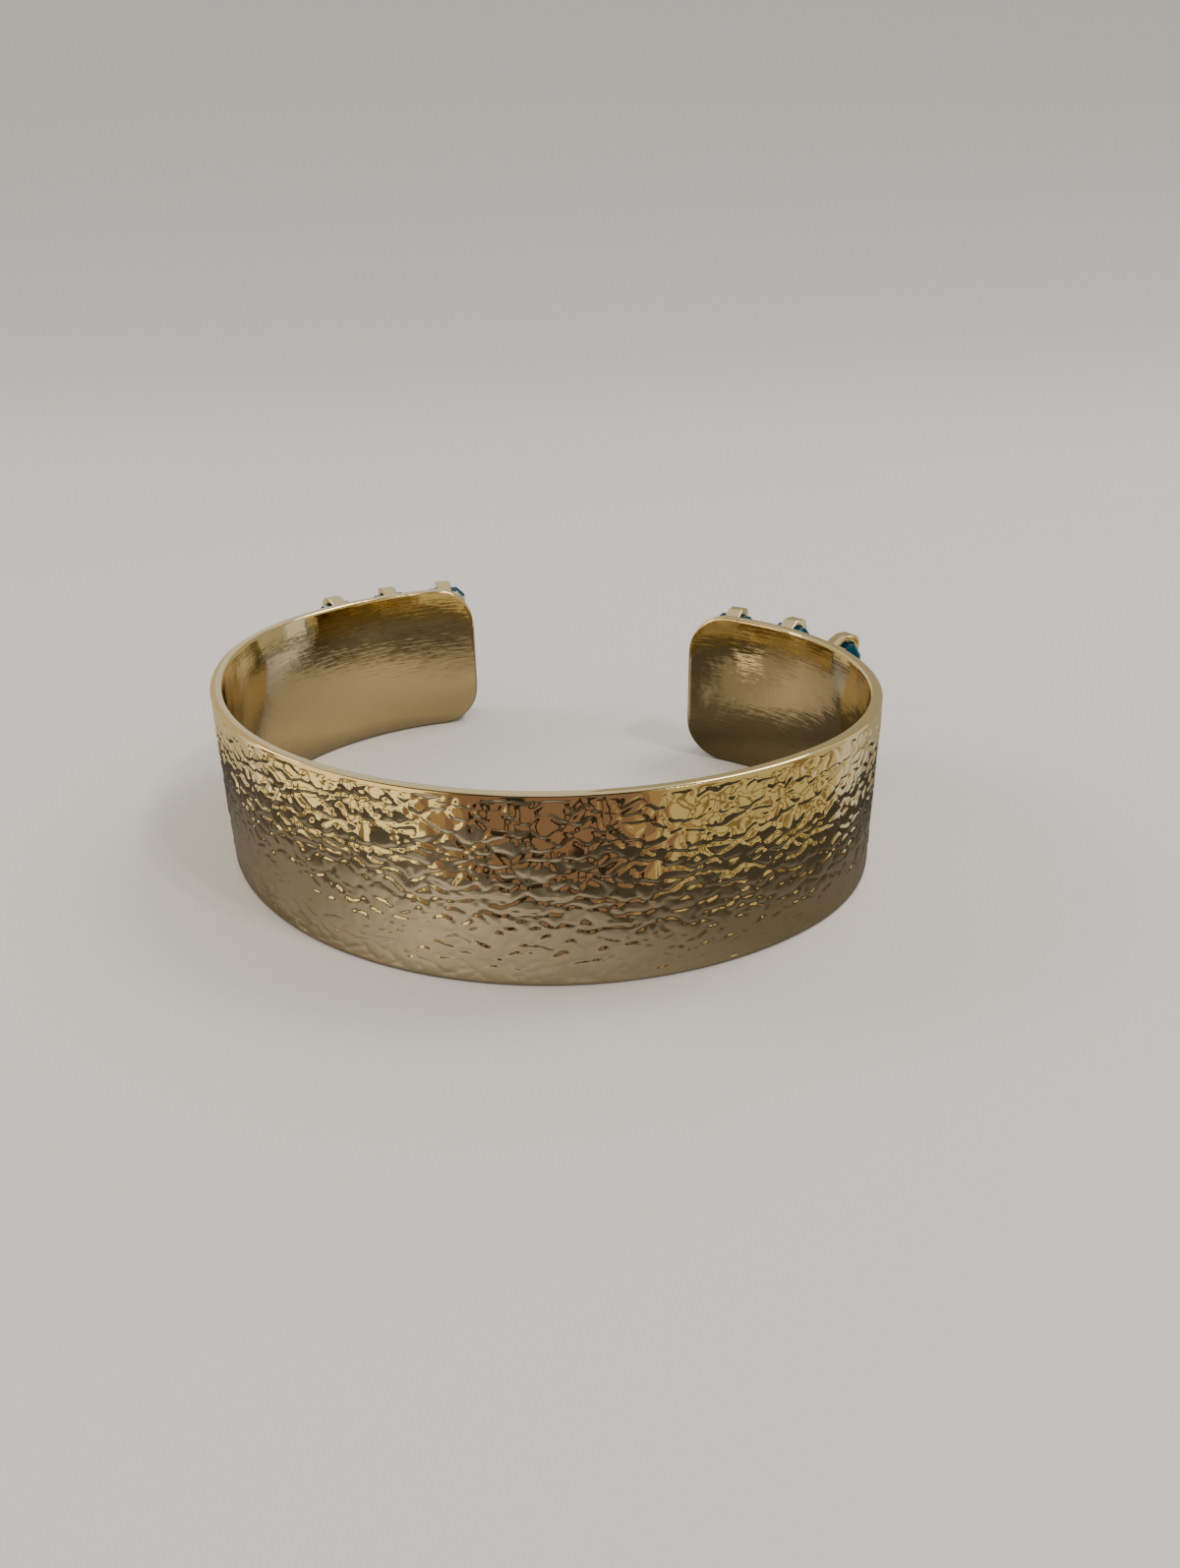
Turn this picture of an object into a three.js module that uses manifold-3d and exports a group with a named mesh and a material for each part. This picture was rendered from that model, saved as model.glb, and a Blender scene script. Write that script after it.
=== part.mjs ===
// An open cuff bracelet: one bent metal band, with a row of step-cut stones on each arm.
// Millimetres, +Z up. The cuff lies on its lower edge and its opening faces +Y.
import * as THREE from "three";
import { mergeVertices } from "three/addons/utils/BufferGeometryUtils.js";
import Module from "manifold-3d";

const wasm = await Module();
wasm.setup();

// Band: a flat strip with round corners, bent round a mandrel
const bandHeight = 16.6;
const bandThickness = 1.1;
const tipCornerRadius = 4.5;
const edgeRound = 0.35;

// Sides of the cuff, from the middle of its back to each tip, as arcs of its inner face.
// It was bent by hand, so the arms differ a little. Sweeps are in degrees.
const backRadius = 31.9;
const leftShoulderRadius = 22.3;
const leftArmRadius = 25.4;
const leftTipToStone = 3.0;
const leftStonePitch = 6.0;
const rightShoulderRadius = 20.8;
const rightArmRadius = 24.7;
const rightTipToStone = 3.9;
const rightStonePitch = 6.15;
const sides = {
  left: {
    tipToStone: leftTipToStone,
    stonePitch: leftStonePitch,
    arcs: [
      { name: "back", radius: backRadius, sweep: 64.4 },
      { name: "shoulder", radius: leftShoulderRadius, sweep: 44.1 },
      { name: "arm", radius: leftArmRadius, sweep: 40.2 },
    ],
  },
  right: {
    tipToStone: rightTipToStone,
    stonePitch: rightStonePitch,
    arcs: [
      { name: "back", radius: backRadius, sweep: 64.9 },
      { name: "shoulder", radius: rightShoulderRadius, sweep: 98.0 },
      { name: "arm", radius: rightArmRadius, sweep: 19.5 },
    ],
  },
};

// Stones: long step-cut octagons that stand across the band
const stonesPerArm = 3;
const stoneWidth = 5.0;
const stoneCornerCut = 0.9;
const girdleHeight = 0.2;
const crownHeight = 0.9;
const pavilionDepth = 2.1;

// Facet steps, as shares of the crown's height, the pavilion's depth and half the stone's width
const crownSteps = [
  { height: 0.55, inset: 0.16 },
  { height: 1.0, inset: 0.38 },
];
const pavilionSteps = [
  { depth: 0.6, inset: 0.45 },
  { depth: 1.0, inset: 0.93 },
];

// Settings: a cup soldered to the band, with a flat claw folded over each end of the stone
const seatGap = 0.25;
const cupWall = 0.35;
const cupTaper = 0.2;
const cupFloor = 0.35;
const cupSeatRise = 0.3;
const solderDepth = 0.3;
const clawWidth = 1.6;
const clawThickness = 0.4;
const clawReach = 1.4;
const clawFromBandEdge = 0.15;

// Fineness of the bent band
const bandStep = 1.9;
const cornerSteps = 7;
const roundSteps = 3;

// Levels above the band's outer face, and the stone's length between its claws
const stoneLength = bandHeight - 2 * (clawFromBandEdge + clawThickness + seatGap);
const girdleLevel = cupFloor + seatGap + pavilionDepth;
const crownLevel = girdleLevel + girdleHeight;
const tableLevel = crownLevel + crownHeight;

const pavilionRows = pavilionSteps.map(({ depth, inset }) => ({
  level: girdleLevel - depth * pavilionDepth,
  inset: (inset * stoneWidth) / 2,
}));
const crownRows = crownSteps.map(({ height, inset }) => ({
  level: crownLevel + height * crownHeight,
  inset: (inset * stoneWidth) / 2,
}));

// Length of one side of the band along its outer face
function sideLength(side) {
  return sides[side].arcs.reduce((length, { radius, sweep }) => {
    return length + (radius + bandThickness) * THREE.MathUtils.degToRad(sweep);
  }, 0);
}

// Point and directions on the band's outer face, at a run from the middle of the back:
// runs are positive towards the right tip and negative towards the left tip.
function outerFaceAt(run) {
  const { arcs } = run < 0 ? sides.left : sides.right;
  const mirror = run < 0 ? -1 : 1;
  let rest = Math.abs(run);
  let heading = 0;
  let x = 0;
  let y = 0;
  arcs.forEach(({ radius, sweep }, index) => {
    const outer = radius + bandThickness;
    const full = outer * THREE.MathUtils.degToRad(sweep);
    const length = index === arcs.length - 1 ? rest : Math.min(rest, full);
    const next = heading + length / outer;
    x += outer * (Math.sin(next) - Math.sin(heading));
    y += outer * (Math.cos(heading) - Math.cos(next));
    heading = next;
    rest -= length;
  });
  return {
    point: new THREE.Vector3(mirror * x, y, 0),
    along: new THREE.Vector3(Math.cos(heading), mirror * Math.sin(heading), 0),
    outward: new THREE.Vector3(mirror * Math.sin(heading), -Math.cos(heading), 0),
  };
}

// Closed mesh through rings of equal length, each ring a list of points, with flat ends
function loft(rings) {
  const count = rings[0].length;
  const positions = rings.flat().flatMap((p) => [p.x, p.y, p.z]);
  const faces = [];
  for (let ring = 0; ring < rings.length - 1; ring++) {
    for (let i = 0; i < count; i++) {
      const a = ring * count + i;
      const b = ring * count + ((i + 1) % count);
      faces.push(a, b, b + count, a, b + count, a + count);
    }
  }
  const lastRing = (rings.length - 1) * count;
  for (let i = 1; i < count - 1; i++) {
    faces.push(0, i + 1, i);
    faces.push(lastRing, lastRing + i, lastRing + i + 1);
  }
  const geometry = new THREE.BufferGeometry();
  geometry.setAttribute("position", new THREE.Float32BufferAttribute(positions, 3));
  geometry.setIndex(faces);
  return geometry;
}

function toSolid(geometry) {
  geometry.deleteAttribute("normal");
  geometry.deleteAttribute("uv");
  const merged = mergeVertices(geometry);
  return new wasm.Manifold(
    new wasm.Mesh({
      numProp: 3,
      vertProperties: new Float32Array(merged.getAttribute("position").array),
      triVerts: new Uint32Array(merged.index.array),
    }),
  );
}

function toGeometry(solid) {
  const { vertProperties, triVerts } = solid.getMesh();
  const geometry = new THREE.BufferGeometry();
  geometry.setAttribute("position", new THREE.BufferAttribute(vertProperties, 3));
  geometry.setIndex(new THREE.BufferAttribute(triVerts, 1));
  return geometry;
}

// How far a round corner has dropped, at a distance from where it starts
function cornerDrop(radius, distance) {
  const left = Math.max(0, radius - distance);
  return radius - Math.sqrt(radius * radius - left * left);
}

// Distances at which a round corner needs a section, from where it starts
function cornerStations(radius, steps) {
  return Array.from({ length: steps + 1 }, (_, i) => {
    return radius * (1 - Math.cos((Math.PI / 2) * (i / steps)));
  });
}

// Section of the band at a run: a rectangle with round edges, which close in at the tips
function bandSection(run, fromTip) {
  const tipRound = cornerDrop(edgeRound, fromTip);
  const halfHeight = bandHeight / 2 - cornerDrop(tipCornerRadius, fromTip) - tipRound;
  const halfThickness = bandThickness / 2 - tipRound;
  const round = Math.max(edgeRound - tipRound, edgeRound / 20);
  const { point, outward } = outerFaceAt(run);
  const ring = [];
  for (let corner = 0; corner < 4; corner++) {
    const sideways = corner === 0 || corner === 3 ? 1 : -1;
    const downwards = corner < 2 ? 1 : -1;
    for (let i = 0; i <= roundSteps; i++) {
      const turn = (Math.PI / 2) * (corner + i / roundSteps);
      const depth = sideways * (halfThickness - round) + round * Math.cos(turn);
      const height = downwards * (halfHeight - round) + round * Math.sin(turn);
      const place = point.clone().addScaledVector(outward, depth - bandThickness / 2);
      ring.push(place.setZ(bandHeight / 2 - height));
    }
  }
  return ring;
}

function makeBand() {
  const leftTip = -sideLength("left");
  const rightTip = sideLength("right");
  const nearTip = [
    ...cornerStations(edgeRound, roundSteps),
    ...cornerStations(tipCornerRadius, cornerSteps).filter((d) => d > 1.5 * edgeRound),
  ];
  const clear = rightTip - leftTip - 2 * tipCornerRadius;
  const steps = Math.ceil(clear / bandStep);
  const middle = Array.from({ length: steps - 1 }, (_, i) => {
    return leftTip + tipCornerRadius + (clear * (i + 1)) / steps;
  });
  const runs = [
    ...nearTip.map((d) => leftTip + d),
    ...middle,
    ...nearTip.map((d) => rightTip - d).reverse(),
  ];
  const rings = runs.map((run) => bandSection(run, Math.min(run - leftTip, rightTip - run)));
  return toSolid(loft(rings));
}

// Octagon that lies inset from the stone's girdle on all sides, at a level above the band
function octagon(inset, level) {
  const halfWidth = stoneWidth / 2 - inset;
  const halfLength = stoneLength / 2 - inset;
  const cut = Math.max(0.04, stoneCornerCut - inset * (2 - Math.SQRT2));
  return [
    [halfWidth, cut - halfLength],
    [halfWidth, halfLength - cut],
    [halfWidth - cut, halfLength],
    [cut - halfWidth, halfLength],
    [-halfWidth, halfLength - cut],
    [-halfWidth, cut - halfLength],
    [cut - halfWidth, -halfLength],
    [halfWidth - cut, -halfLength],
  ].map(([x, y]) => new THREE.Vector3(x, y, level));
}

function makeStone() {
  const rows = [
    ...pavilionRows.toReversed(),
    { level: girdleLevel, inset: 0 },
    { level: crownLevel, inset: 0 },
    ...crownRows,
  ];
  return loft(rows.map(({ inset, level }) => octagon(inset, level)));
}

// Cup's seat: a bevel that runs beside the pavilion's upper facets, clear of them by the gap
const [pavilionShoulder] = pavilionRows;
const seatSlope = pavilionShoulder.inset / (girdleLevel - pavilionShoulder.level);
const seatSideGap = seatGap * Math.hypot(1, seatSlope);
const rimLevel = pavilionShoulder.level + cupSeatRise;

function seatInset(level) {
  return seatSlope * (girdleLevel - level) - seatSideGap;
}

function makeCup() {
  const rimInset = seatInset(rimLevel) - cupWall;
  const outside = loft([
    octagon(rimInset + cupTaper, -solderDepth),
    octagon(rimInset, rimLevel),
  ]);
  const pocketInset = seatInset(pavilionShoulder.level);
  const pocket = loft([
    octagon(pocketInset, cupFloor),
    octagon(pocketInset, pavilionShoulder.level),
    octagon(seatInset(girdleLevel), girdleLevel),
  ]);
  return toSolid(outside).subtract(toSolid(pocket));
}

// Claw: a flat strip that leaves the cup's end wall, flares out past the girdle and folds
// over the crown. Its outline has x outwards from the stone's middle, and y as the level.
function makeClaw() {
  const [shoulder, table] = crownRows;
  const halfLength = stoneLength / 2;
  const foot = halfLength - seatInset(rimLevel);
  const inside = halfLength + seatGap;
  const outside = inside + clawThickness;
  const underside = tableLevel + seatGap / 2;
  const top = underside + clawThickness;
  const outline = new THREE.Shape();
  outline.moveTo(foot, -solderDepth);
  outline.lineTo(foot + clawThickness, -solderDepth);
  outline.lineTo(foot + clawThickness, rimLevel - clawThickness);
  outline.lineTo(outside, girdleLevel - seatGap);
  outline.lineTo(outside, shoulder.level);
  outline.quadraticCurveTo(outside, top, halfLength - shoulder.inset, top);
  outline.lineTo(halfLength - clawReach, top);
  outline.lineTo(halfLength - clawReach, underside);
  outline.lineTo(halfLength - table.inset, underside);
  outline.lineTo(halfLength - shoulder.inset + seatGap, shoulder.level + seatGap / 2);
  outline.lineTo(inside, crownLevel);
  outline.lineTo(inside, girdleLevel - seatGap);
  outline.lineTo(foot, rimLevel);
  outline.closePath();
  const extrusion = { depth: clawWidth, bevelEnabled: false, curveSegments: 4 };
  return new THREE.ExtrudeGeometry(outline, extrusion).translate(0, 0, -clawWidth / 2);
}

// Cup and claws in the stone's own axes: x along the band, y up, z outwards
function makeSetting() {
  const out = new THREE.Vector3(0, 0, 1);
  const ends = [new THREE.Vector3(0, 1, 0), new THREE.Vector3(0, -1, 0)];
  return ends.reduce((setting, end) => {
    const turn = new THREE.Matrix4().makeBasis(end, out, end.clone().cross(out));
    return setting.add(toSolid(makeClaw().applyMatrix4(turn)));
  }, makeCup());
}

// Where each stone sits on the band's outer face, counted from the tips
function stonePlaces() {
  const places = [];
  for (const [side, { tipToStone, stonePitch }] of Object.entries(sides)) {
    for (let i = 0; i < stonesPerArm; i++) {
      const run = sideLength(side) - tipToStone - i * stonePitch;
      const { point, along, outward } = outerFaceAt(side === "left" ? -run : run);
      const matrix = new THREE.Matrix4()
        .makeBasis(along, new THREE.Vector3(0, 0, 1), outward)
        .setPosition(point.setZ(bandHeight / 2));
      places.push({ name: `stone_${side}_${i + 1}`, matrix });
    }
  }
  return places;
}

const gold = new THREE.MeshStandardMaterial({ color: 0xd8b264, roughness: 0.18, metalness: 1 });
const blueGlass = new THREE.MeshStandardMaterial({ color: 0x1c4f7c, roughness: 0.04, metalness: 0 });

function makeCuff() {
  const cuff = new THREE.Group();
  const places = stonePlaces();
  const setting = makeSetting();
  const metal = places.reduce((joined, { matrix }) => {
    return joined.add(setting.transform(matrix.elements));
  }, makeBand());
  const band = new THREE.Mesh(toGeometry(metal), gold);
  band.name = "cuff_band";
  cuff.add(band);

  for (const { name, matrix } of places) {
    const stone = new THREE.Mesh(makeStone(), blueGlass);
    stone.name = name;
    stone.applyMatrix4(matrix);
    cuff.add(stone);
  }

  // The origin is the middle of the cuff's own box, on the surface it lies on
  const box = new THREE.Box3().setFromObject(cuff);
  const middle = box.getCenter(new THREE.Vector3());
  cuff.position.set(-middle.x, -middle.y, -box.min.z);
  return cuff;
}

export default makeCuff();
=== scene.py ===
# %% [markdown]
# # A hammered gold cuff with blue stones
# The cuff is one strip of plated brass, hammered on the outside, polished along its edges and
# bent round a mandrel. Near each end three long blue stones stand in cups that are soldered to
# the strip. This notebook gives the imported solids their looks: first the camera, then the
# metal strip, the settings, the stones, and last the studio.

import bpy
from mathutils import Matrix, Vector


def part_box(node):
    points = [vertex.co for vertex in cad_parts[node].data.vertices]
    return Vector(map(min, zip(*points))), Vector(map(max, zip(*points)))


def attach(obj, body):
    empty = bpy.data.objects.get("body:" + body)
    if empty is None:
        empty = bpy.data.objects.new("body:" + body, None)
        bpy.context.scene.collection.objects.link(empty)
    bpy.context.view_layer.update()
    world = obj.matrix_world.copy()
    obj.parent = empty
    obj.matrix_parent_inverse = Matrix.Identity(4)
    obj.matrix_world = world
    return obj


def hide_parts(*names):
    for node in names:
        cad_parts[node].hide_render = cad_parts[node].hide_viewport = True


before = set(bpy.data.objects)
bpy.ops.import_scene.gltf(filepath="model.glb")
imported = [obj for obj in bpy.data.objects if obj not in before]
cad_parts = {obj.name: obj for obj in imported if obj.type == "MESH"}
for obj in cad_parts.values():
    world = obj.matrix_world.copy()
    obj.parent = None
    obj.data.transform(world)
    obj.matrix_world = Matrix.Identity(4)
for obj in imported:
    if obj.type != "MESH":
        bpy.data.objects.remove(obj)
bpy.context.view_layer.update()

# %% Imports and units
import math

import bmesh
import bpy
from mathutils import Matrix, Vector, noise

MM = 0.001

# %% [markdown]
# ## How the cuff is bent
# A point on the band has three numbers: its run along the outer face, counted from the middle
# of the back, its depth out of that face, and its height. Three arcs on each side bend the
# strip. They are the solid model's own arcs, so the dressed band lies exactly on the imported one.

# %% Sizes of the band
BAND_HEIGHT = 16.6 * MM
BAND_THICKNESS = 1.1 * MM
TIP_CORNER = 4.5 * MM
EDGE_ROUND = 0.35 * MM
BACK_RADIUS = 31.9 * MM

# Inner radius and sweep in degrees of the back, the shoulder and the arm, towards each tip
LEFT, RIGHT = -1, 1
ARCS = {
    LEFT: [(BACK_RADIUS, 64.4), (22.3 * MM, 44.1), (25.4 * MM, 40.2)],
    RIGHT: [(BACK_RADIUS, 64.9), (20.8 * MM, 98.0), (24.7 * MM, 19.5)],
}


# %% Length of each side
def side_length(side):
    """Length of one side of the band along its outer face."""
    return sum((r + BAND_THICKNESS) * math.radians(sweep) for r, sweep in ARCS[side])


print("outer face", round((side_length(LEFT) + side_length(RIGHT)) / MM, 1), "mm long")


# %% Place and directions at a run
def outer_face_at(run):
    """Point, direction along and direction outwards on the outer face, from the back's middle."""
    side = LEFT if run < 0 else RIGHT
    arcs = ARCS[side]
    rest, heading, x, y = abs(run), 0.0, 0.0, 0.0
    for index, (radius, sweep) in enumerate(arcs):
        outer = radius + BAND_THICKNESS
        full = outer * math.radians(sweep)
        length = rest if index == len(arcs) - 1 else min(rest, full)
        following = heading + length / outer
        x += outer * (math.sin(following) - math.sin(heading))
        y += outer * (math.cos(heading) - math.cos(following))
        heading = following
        rest -= length
    along = Vector((math.cos(heading), side * math.sin(heading), 0))
    outward = Vector((side * math.sin(heading), -math.cos(heading), 0))
    return Vector((side * x, y, 0)), along, outward


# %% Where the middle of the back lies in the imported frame
band_low, band_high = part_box("cuff_band")
REACH_STEPS = 400
right_runs = [side_length(RIGHT) * step / REACH_STEPS for step in range(REACH_STEPS + 1)]
RIGHT_REACH = max(outer_face_at(run)[0].x for run in right_runs)
BACK_MIDDLE = Vector((band_high.x - RIGHT_REACH, band_low.y, 0))
print("middle of the back", tuple(round(v / MM, 2) for v in BACK_MIDDLE), "mm")


def bend(run, depth, height):
    """Place in the frame of a point of the flat strip."""
    point, _, outward = outer_face_at(run)
    return BACK_MIDDLE + point + outward * depth + Vector((0, 0, height))


# %% [markdown]
# ## The camera
# The photograph was taken from close by with a phone, so the perspective is strong: the camera
# stands about a hand's width from the cuff and looks down at about 25 degrees. A camera can be
# placed by eye, but here its place, its turn and its lens were solved from the cuff's outline,
# so the picture and the model can be laid over each other. The three turns are in radians. The
# sensor width of 36 mm belongs to the longer side of the picture.

# %% Camera at the photograph's angle
CAMERA_FROM_BACK = Vector((45.33, -62.90, 51.97)) * MM
CAMERA_TURN, CAMERA_PITCH, CAMERA_ROLL = 0.415, 0.441, -0.014
LENS_LENGTH = 25.93
NEAREST_SEEN = 1 * MM

camera_data = bpy.data.cameras.new("camera")
camera_data.lens = LENS_LENGTH
camera_data.clip_start = NEAREST_SEEN
camera = bpy.data.objects.new("camera", camera_data)
bpy.context.collection.objects.link(camera)
camera.matrix_world = (
    Matrix.Translation(BACK_MIDDLE + CAMERA_FROM_BACK)
    @ Matrix.Rotation(CAMERA_TURN, 4, "Z")
    @ Matrix.Rotation(math.pi / 2 - CAMERA_PITCH, 4, "X")
    @ Matrix.Rotation(CAMERA_ROLL, 4, "Z")
)
bpy.context.scene.camera = camera
print("camera at", tuple(round(v / MM, 1) for v in camera.location), "mm")


# %% [markdown]
# ## Small helpers
# Every piece is shaped as a bmesh and then handed over in the same way: the mesh gets its
# materials and its shading, the object stays at the origin, and it rides on the cuff's body.

# %% Turn a bmesh into a finished piece
def finish_piece(name, bm, materials, smooth=True, node="cuff_band"):
    """A new object from a bmesh, riding on the cuff and standing for one of its solids."""
    bmesh.ops.recalc_face_normals(bm, faces=bm.faces)
    mesh = bpy.data.meshes.new(name)
    bm.to_mesh(mesh)
    bm.free()
    for material in materials:
        mesh.materials.append(material)
    if smooth:
        mesh.shade_smooth()
    piece = bpy.data.objects.new(name, mesh)
    bpy.context.collection.objects.link(piece)
    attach(piece, "root")
    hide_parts(node)
    triangles = sum(len(p.vertices) - 2 for p in mesh.polygons)
    print(name, triangles, "triangles")
    return piece


def smooth_step(low, high, value):
    """0 below low, 1 above high, and an even rise between."""
    share = min(1.0, max(0.0, (value - low) / (high - low)))
    return share * share * (3 - 2 * share)


# %% [markdown]
# ## Gold plate
# Polished plate is a plain metal with very little roughness. Metallic at 1 and a gold colour
# would do from afar. What makes it look real from close by is laid over that: fine wiping
# scratches along the band, a skin that isn't quite flat, so a reflection's edge wavers, and
# slow clouds of tone. The skin is one node group and the clouds another, because several
# finishes use them, each with its own strengths.

# %% How fine each pattern is, in cells per metre, and how strong
WAVE_GRAIN, BRUSH_GRAIN, SMEAR_GRAIN, GOLD_CLOUD_GRAIN = 420, 3200, 90, 60
BRUSH_STRETCH = (0.12, 0.12, 1.0)
SMEAR_SHARE = 0.06
CLOUD_LOW, CLOUD_HIGH = 0.35, 0.65
SKIN_RELIEF = 0.02 * MM


# %% Helpers for node groups
def socket(group, name, direction, default=None):
    """A named number socket on a node group."""
    made = group.interface.new_socket(name, in_out=direction, socket_type="NodeSocketFloat")
    if default is not None:
        made.default_value = default


def noise_value(nodes, links, vector, scale, detail):
    """The value of a Noise texture at a vector."""
    texture = nodes.new("ShaderNodeTexNoise")
    texture.inputs["Scale"].default_value = scale
    texture.inputs["Detail"].default_value = detail
    links.new(vector, texture.inputs["Vector"])
    return texture.outputs["Fac"]


def math_node(nodes, links, operation, first, second):
    """A Math node fed by sockets or numbers."""
    node = nodes.new("ShaderNodeMath")
    node.operation = operation
    for slot_index, value in enumerate((first, second)):
        if isinstance(value, (int, float)):
            node.inputs[slot_index].default_value = value
        else:
            links.new(value, node.inputs[slot_index])
    return node.outputs[0]


# %% Group: the skin of polished metal
def make_skin_group():
    """Height of an uneven, finely wiped skin, and a roughness that varies over it."""
    group = bpy.data.node_groups.new("metal_skin", "ShaderNodeTree")
    socket(group, "Waviness", "INPUT", 1.0)
    socket(group, "Brushing", "INPUT", 1.0)
    socket(group, "Base Roughness", "INPUT", 0.1)
    socket(group, "Height", "OUTPUT")
    socket(group, "Roughness", "OUTPUT")
    nodes, links = group.nodes, group.links
    given = nodes.new("NodeGroupInput")
    made = nodes.new("NodeGroupOutput")
    place = nodes.new("ShaderNodeTexCoord").outputs["Object"]

    waves = noise_value(nodes, links, place, WAVE_GRAIN, 2)
    stretch = nodes.new("ShaderNodeMapping")
    stretch.inputs["Scale"].default_value = BRUSH_STRETCH
    links.new(place, stretch.inputs["Vector"])
    scratches = noise_value(nodes, links, stretch.outputs["Vector"], BRUSH_GRAIN, 3)
    wavy = math_node(nodes, links, "MULTIPLY", waves, given.outputs["Waviness"])
    brushed = math_node(nodes, links, "MULTIPLY", scratches, given.outputs["Brushing"])
    height = math_node(nodes, links, "ADD", wavy, brushed)
    links.new(height, made.inputs["Height"])

    smears = noise_value(nodes, links, place, SMEAR_GRAIN, 3)
    varied = math_node(nodes, links, "MULTIPLY", smears, SMEAR_SHARE)
    rough = math_node(nodes, links, "ADD", varied, given.outputs["Base Roughness"])
    links.new(rough, made.inputs["Roughness"])
    return group


SKIN = make_skin_group()
print(SKIN.name, "has", len(SKIN.nodes), "nodes")


# %% Group: slow clouds of tone
def make_clouds_group():
    """A mask from 0 to 1 that drifts slowly over a piece, for its colour and its roughness."""
    group = bpy.data.node_groups.new("tone_clouds", "ShaderNodeTree")
    socket(group, "Scale", "INPUT", GOLD_CLOUD_GRAIN)
    socket(group, "Mask", "OUTPUT")
    nodes, links = group.nodes, group.links
    given = nodes.new("NodeGroupInput")
    made = nodes.new("NodeGroupOutput")
    place = nodes.new("ShaderNodeTexCoord")
    clouds = nodes.new("ShaderNodeTexNoise")
    clouds.inputs["Detail"].default_value = 2
    links.new(given.outputs["Scale"], clouds.inputs["Scale"])
    links.new(place.outputs["Object"], clouds.inputs["Vector"])
    spread = nodes.new("ShaderNodeMapRange")
    spread.inputs["From Min"].default_value = CLOUD_LOW
    spread.inputs["From Max"].default_value = CLOUD_HIGH
    links.new(clouds.outputs["Fac"], spread.inputs["Value"])
    links.new(spread.outputs["Result"], made.inputs["Mask"])
    return group


CLOUDS = make_clouds_group()
print(CLOUDS.name, "has", len(CLOUDS.nodes), "nodes")


def cloudy_color(nodes, links, shader, color, share, scale):
    """Lets the base colour drift between a share of itself and the whole, and returns the mask."""
    clouds = nodes.new("ShaderNodeGroup")
    clouds.node_tree = CLOUDS
    clouds.inputs["Scale"].default_value = scale
    ramp = nodes.new("ShaderNodeValToRGB")
    ramp.color_ramp.elements[0].color = (*[c * share for c in color], 1)
    ramp.color_ramp.elements[1].color = (*color, 1)
    links.new(clouds.outputs["Mask"], ramp.inputs["Fac"])
    links.new(ramp.outputs["Color"], shader.inputs["Base Color"])
    return clouds.outputs["Mask"]


# %% Gold finishes
PALE_GOLD = (0.88, 0.73, 0.40)
GOLD_TONE_SHARE = 0.94


def make_gold(name, roughness, waviness, brushing, bump):
    """A polished gold finish with its own amount of waviness and brushing."""
    material = bpy.data.materials.new(name)
    material.use_nodes = True
    nodes, links = material.node_tree.nodes, material.node_tree.links
    shader = nodes["Principled BSDF"]
    shader.inputs["Metallic"].default_value = 1.0
    cloudy_color(nodes, links, shader, PALE_GOLD, GOLD_TONE_SHARE, GOLD_CLOUD_GRAIN)
    skin = nodes.new("ShaderNodeGroup")
    skin.node_tree = SKIN
    skin.inputs["Waviness"].default_value = waviness
    skin.inputs["Brushing"].default_value = brushing
    skin.inputs["Base Roughness"].default_value = roughness
    relief = nodes.new("ShaderNodeBump")
    relief.inputs["Strength"].default_value = bump
    relief.inputs["Distance"].default_value = SKIN_RELIEF
    links.new(skin.outputs["Height"], relief.inputs["Height"])
    links.new(skin.outputs["Roughness"], shader.inputs["Roughness"])
    links.new(relief.outputs["Normal"], shader.inputs["Normal"])
    print(name, "has", len(nodes), "nodes")
    return material


# Roughness, waviness, brushing and strength of the relief
gold_hammered = make_gold("gold_hammered", 0.03, 0.6, 0.1, 0.4)
gold_inside = make_gold("gold_inside", 0.06, 3.0, 0.9, 0.9)
gold_setting = make_gold("gold_setting", 0.05, 0.5, 0.2, 0.4)

# %% [markdown]
# ## The hammered strip
# A smith hammers the strip while it is flat, and bends it last. The mesh is made in the same
# order. A flat section is rounded at its corners and drawn out to the strip's length, its ends
# are rounded, the outer face is hammered, and every point is then bent round the arcs.
# A bump texture could show the blows too, but they are real geometry here, because the edge of
# the metal and each reflection show them. The columns and rows stay just under the number of
# triangles that the export keeps whole.

# %% Fineness of the strip
RELIEF_COLUMNS = 700
RELIEF_ROWS = 118
INSIDE_ROWS = 4
EDGE_SEGMENTS = 4
HALF_HEIGHT = BAND_HEIGHT / 2
HALF_THICKNESS = BAND_THICKNESS / 2


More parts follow.
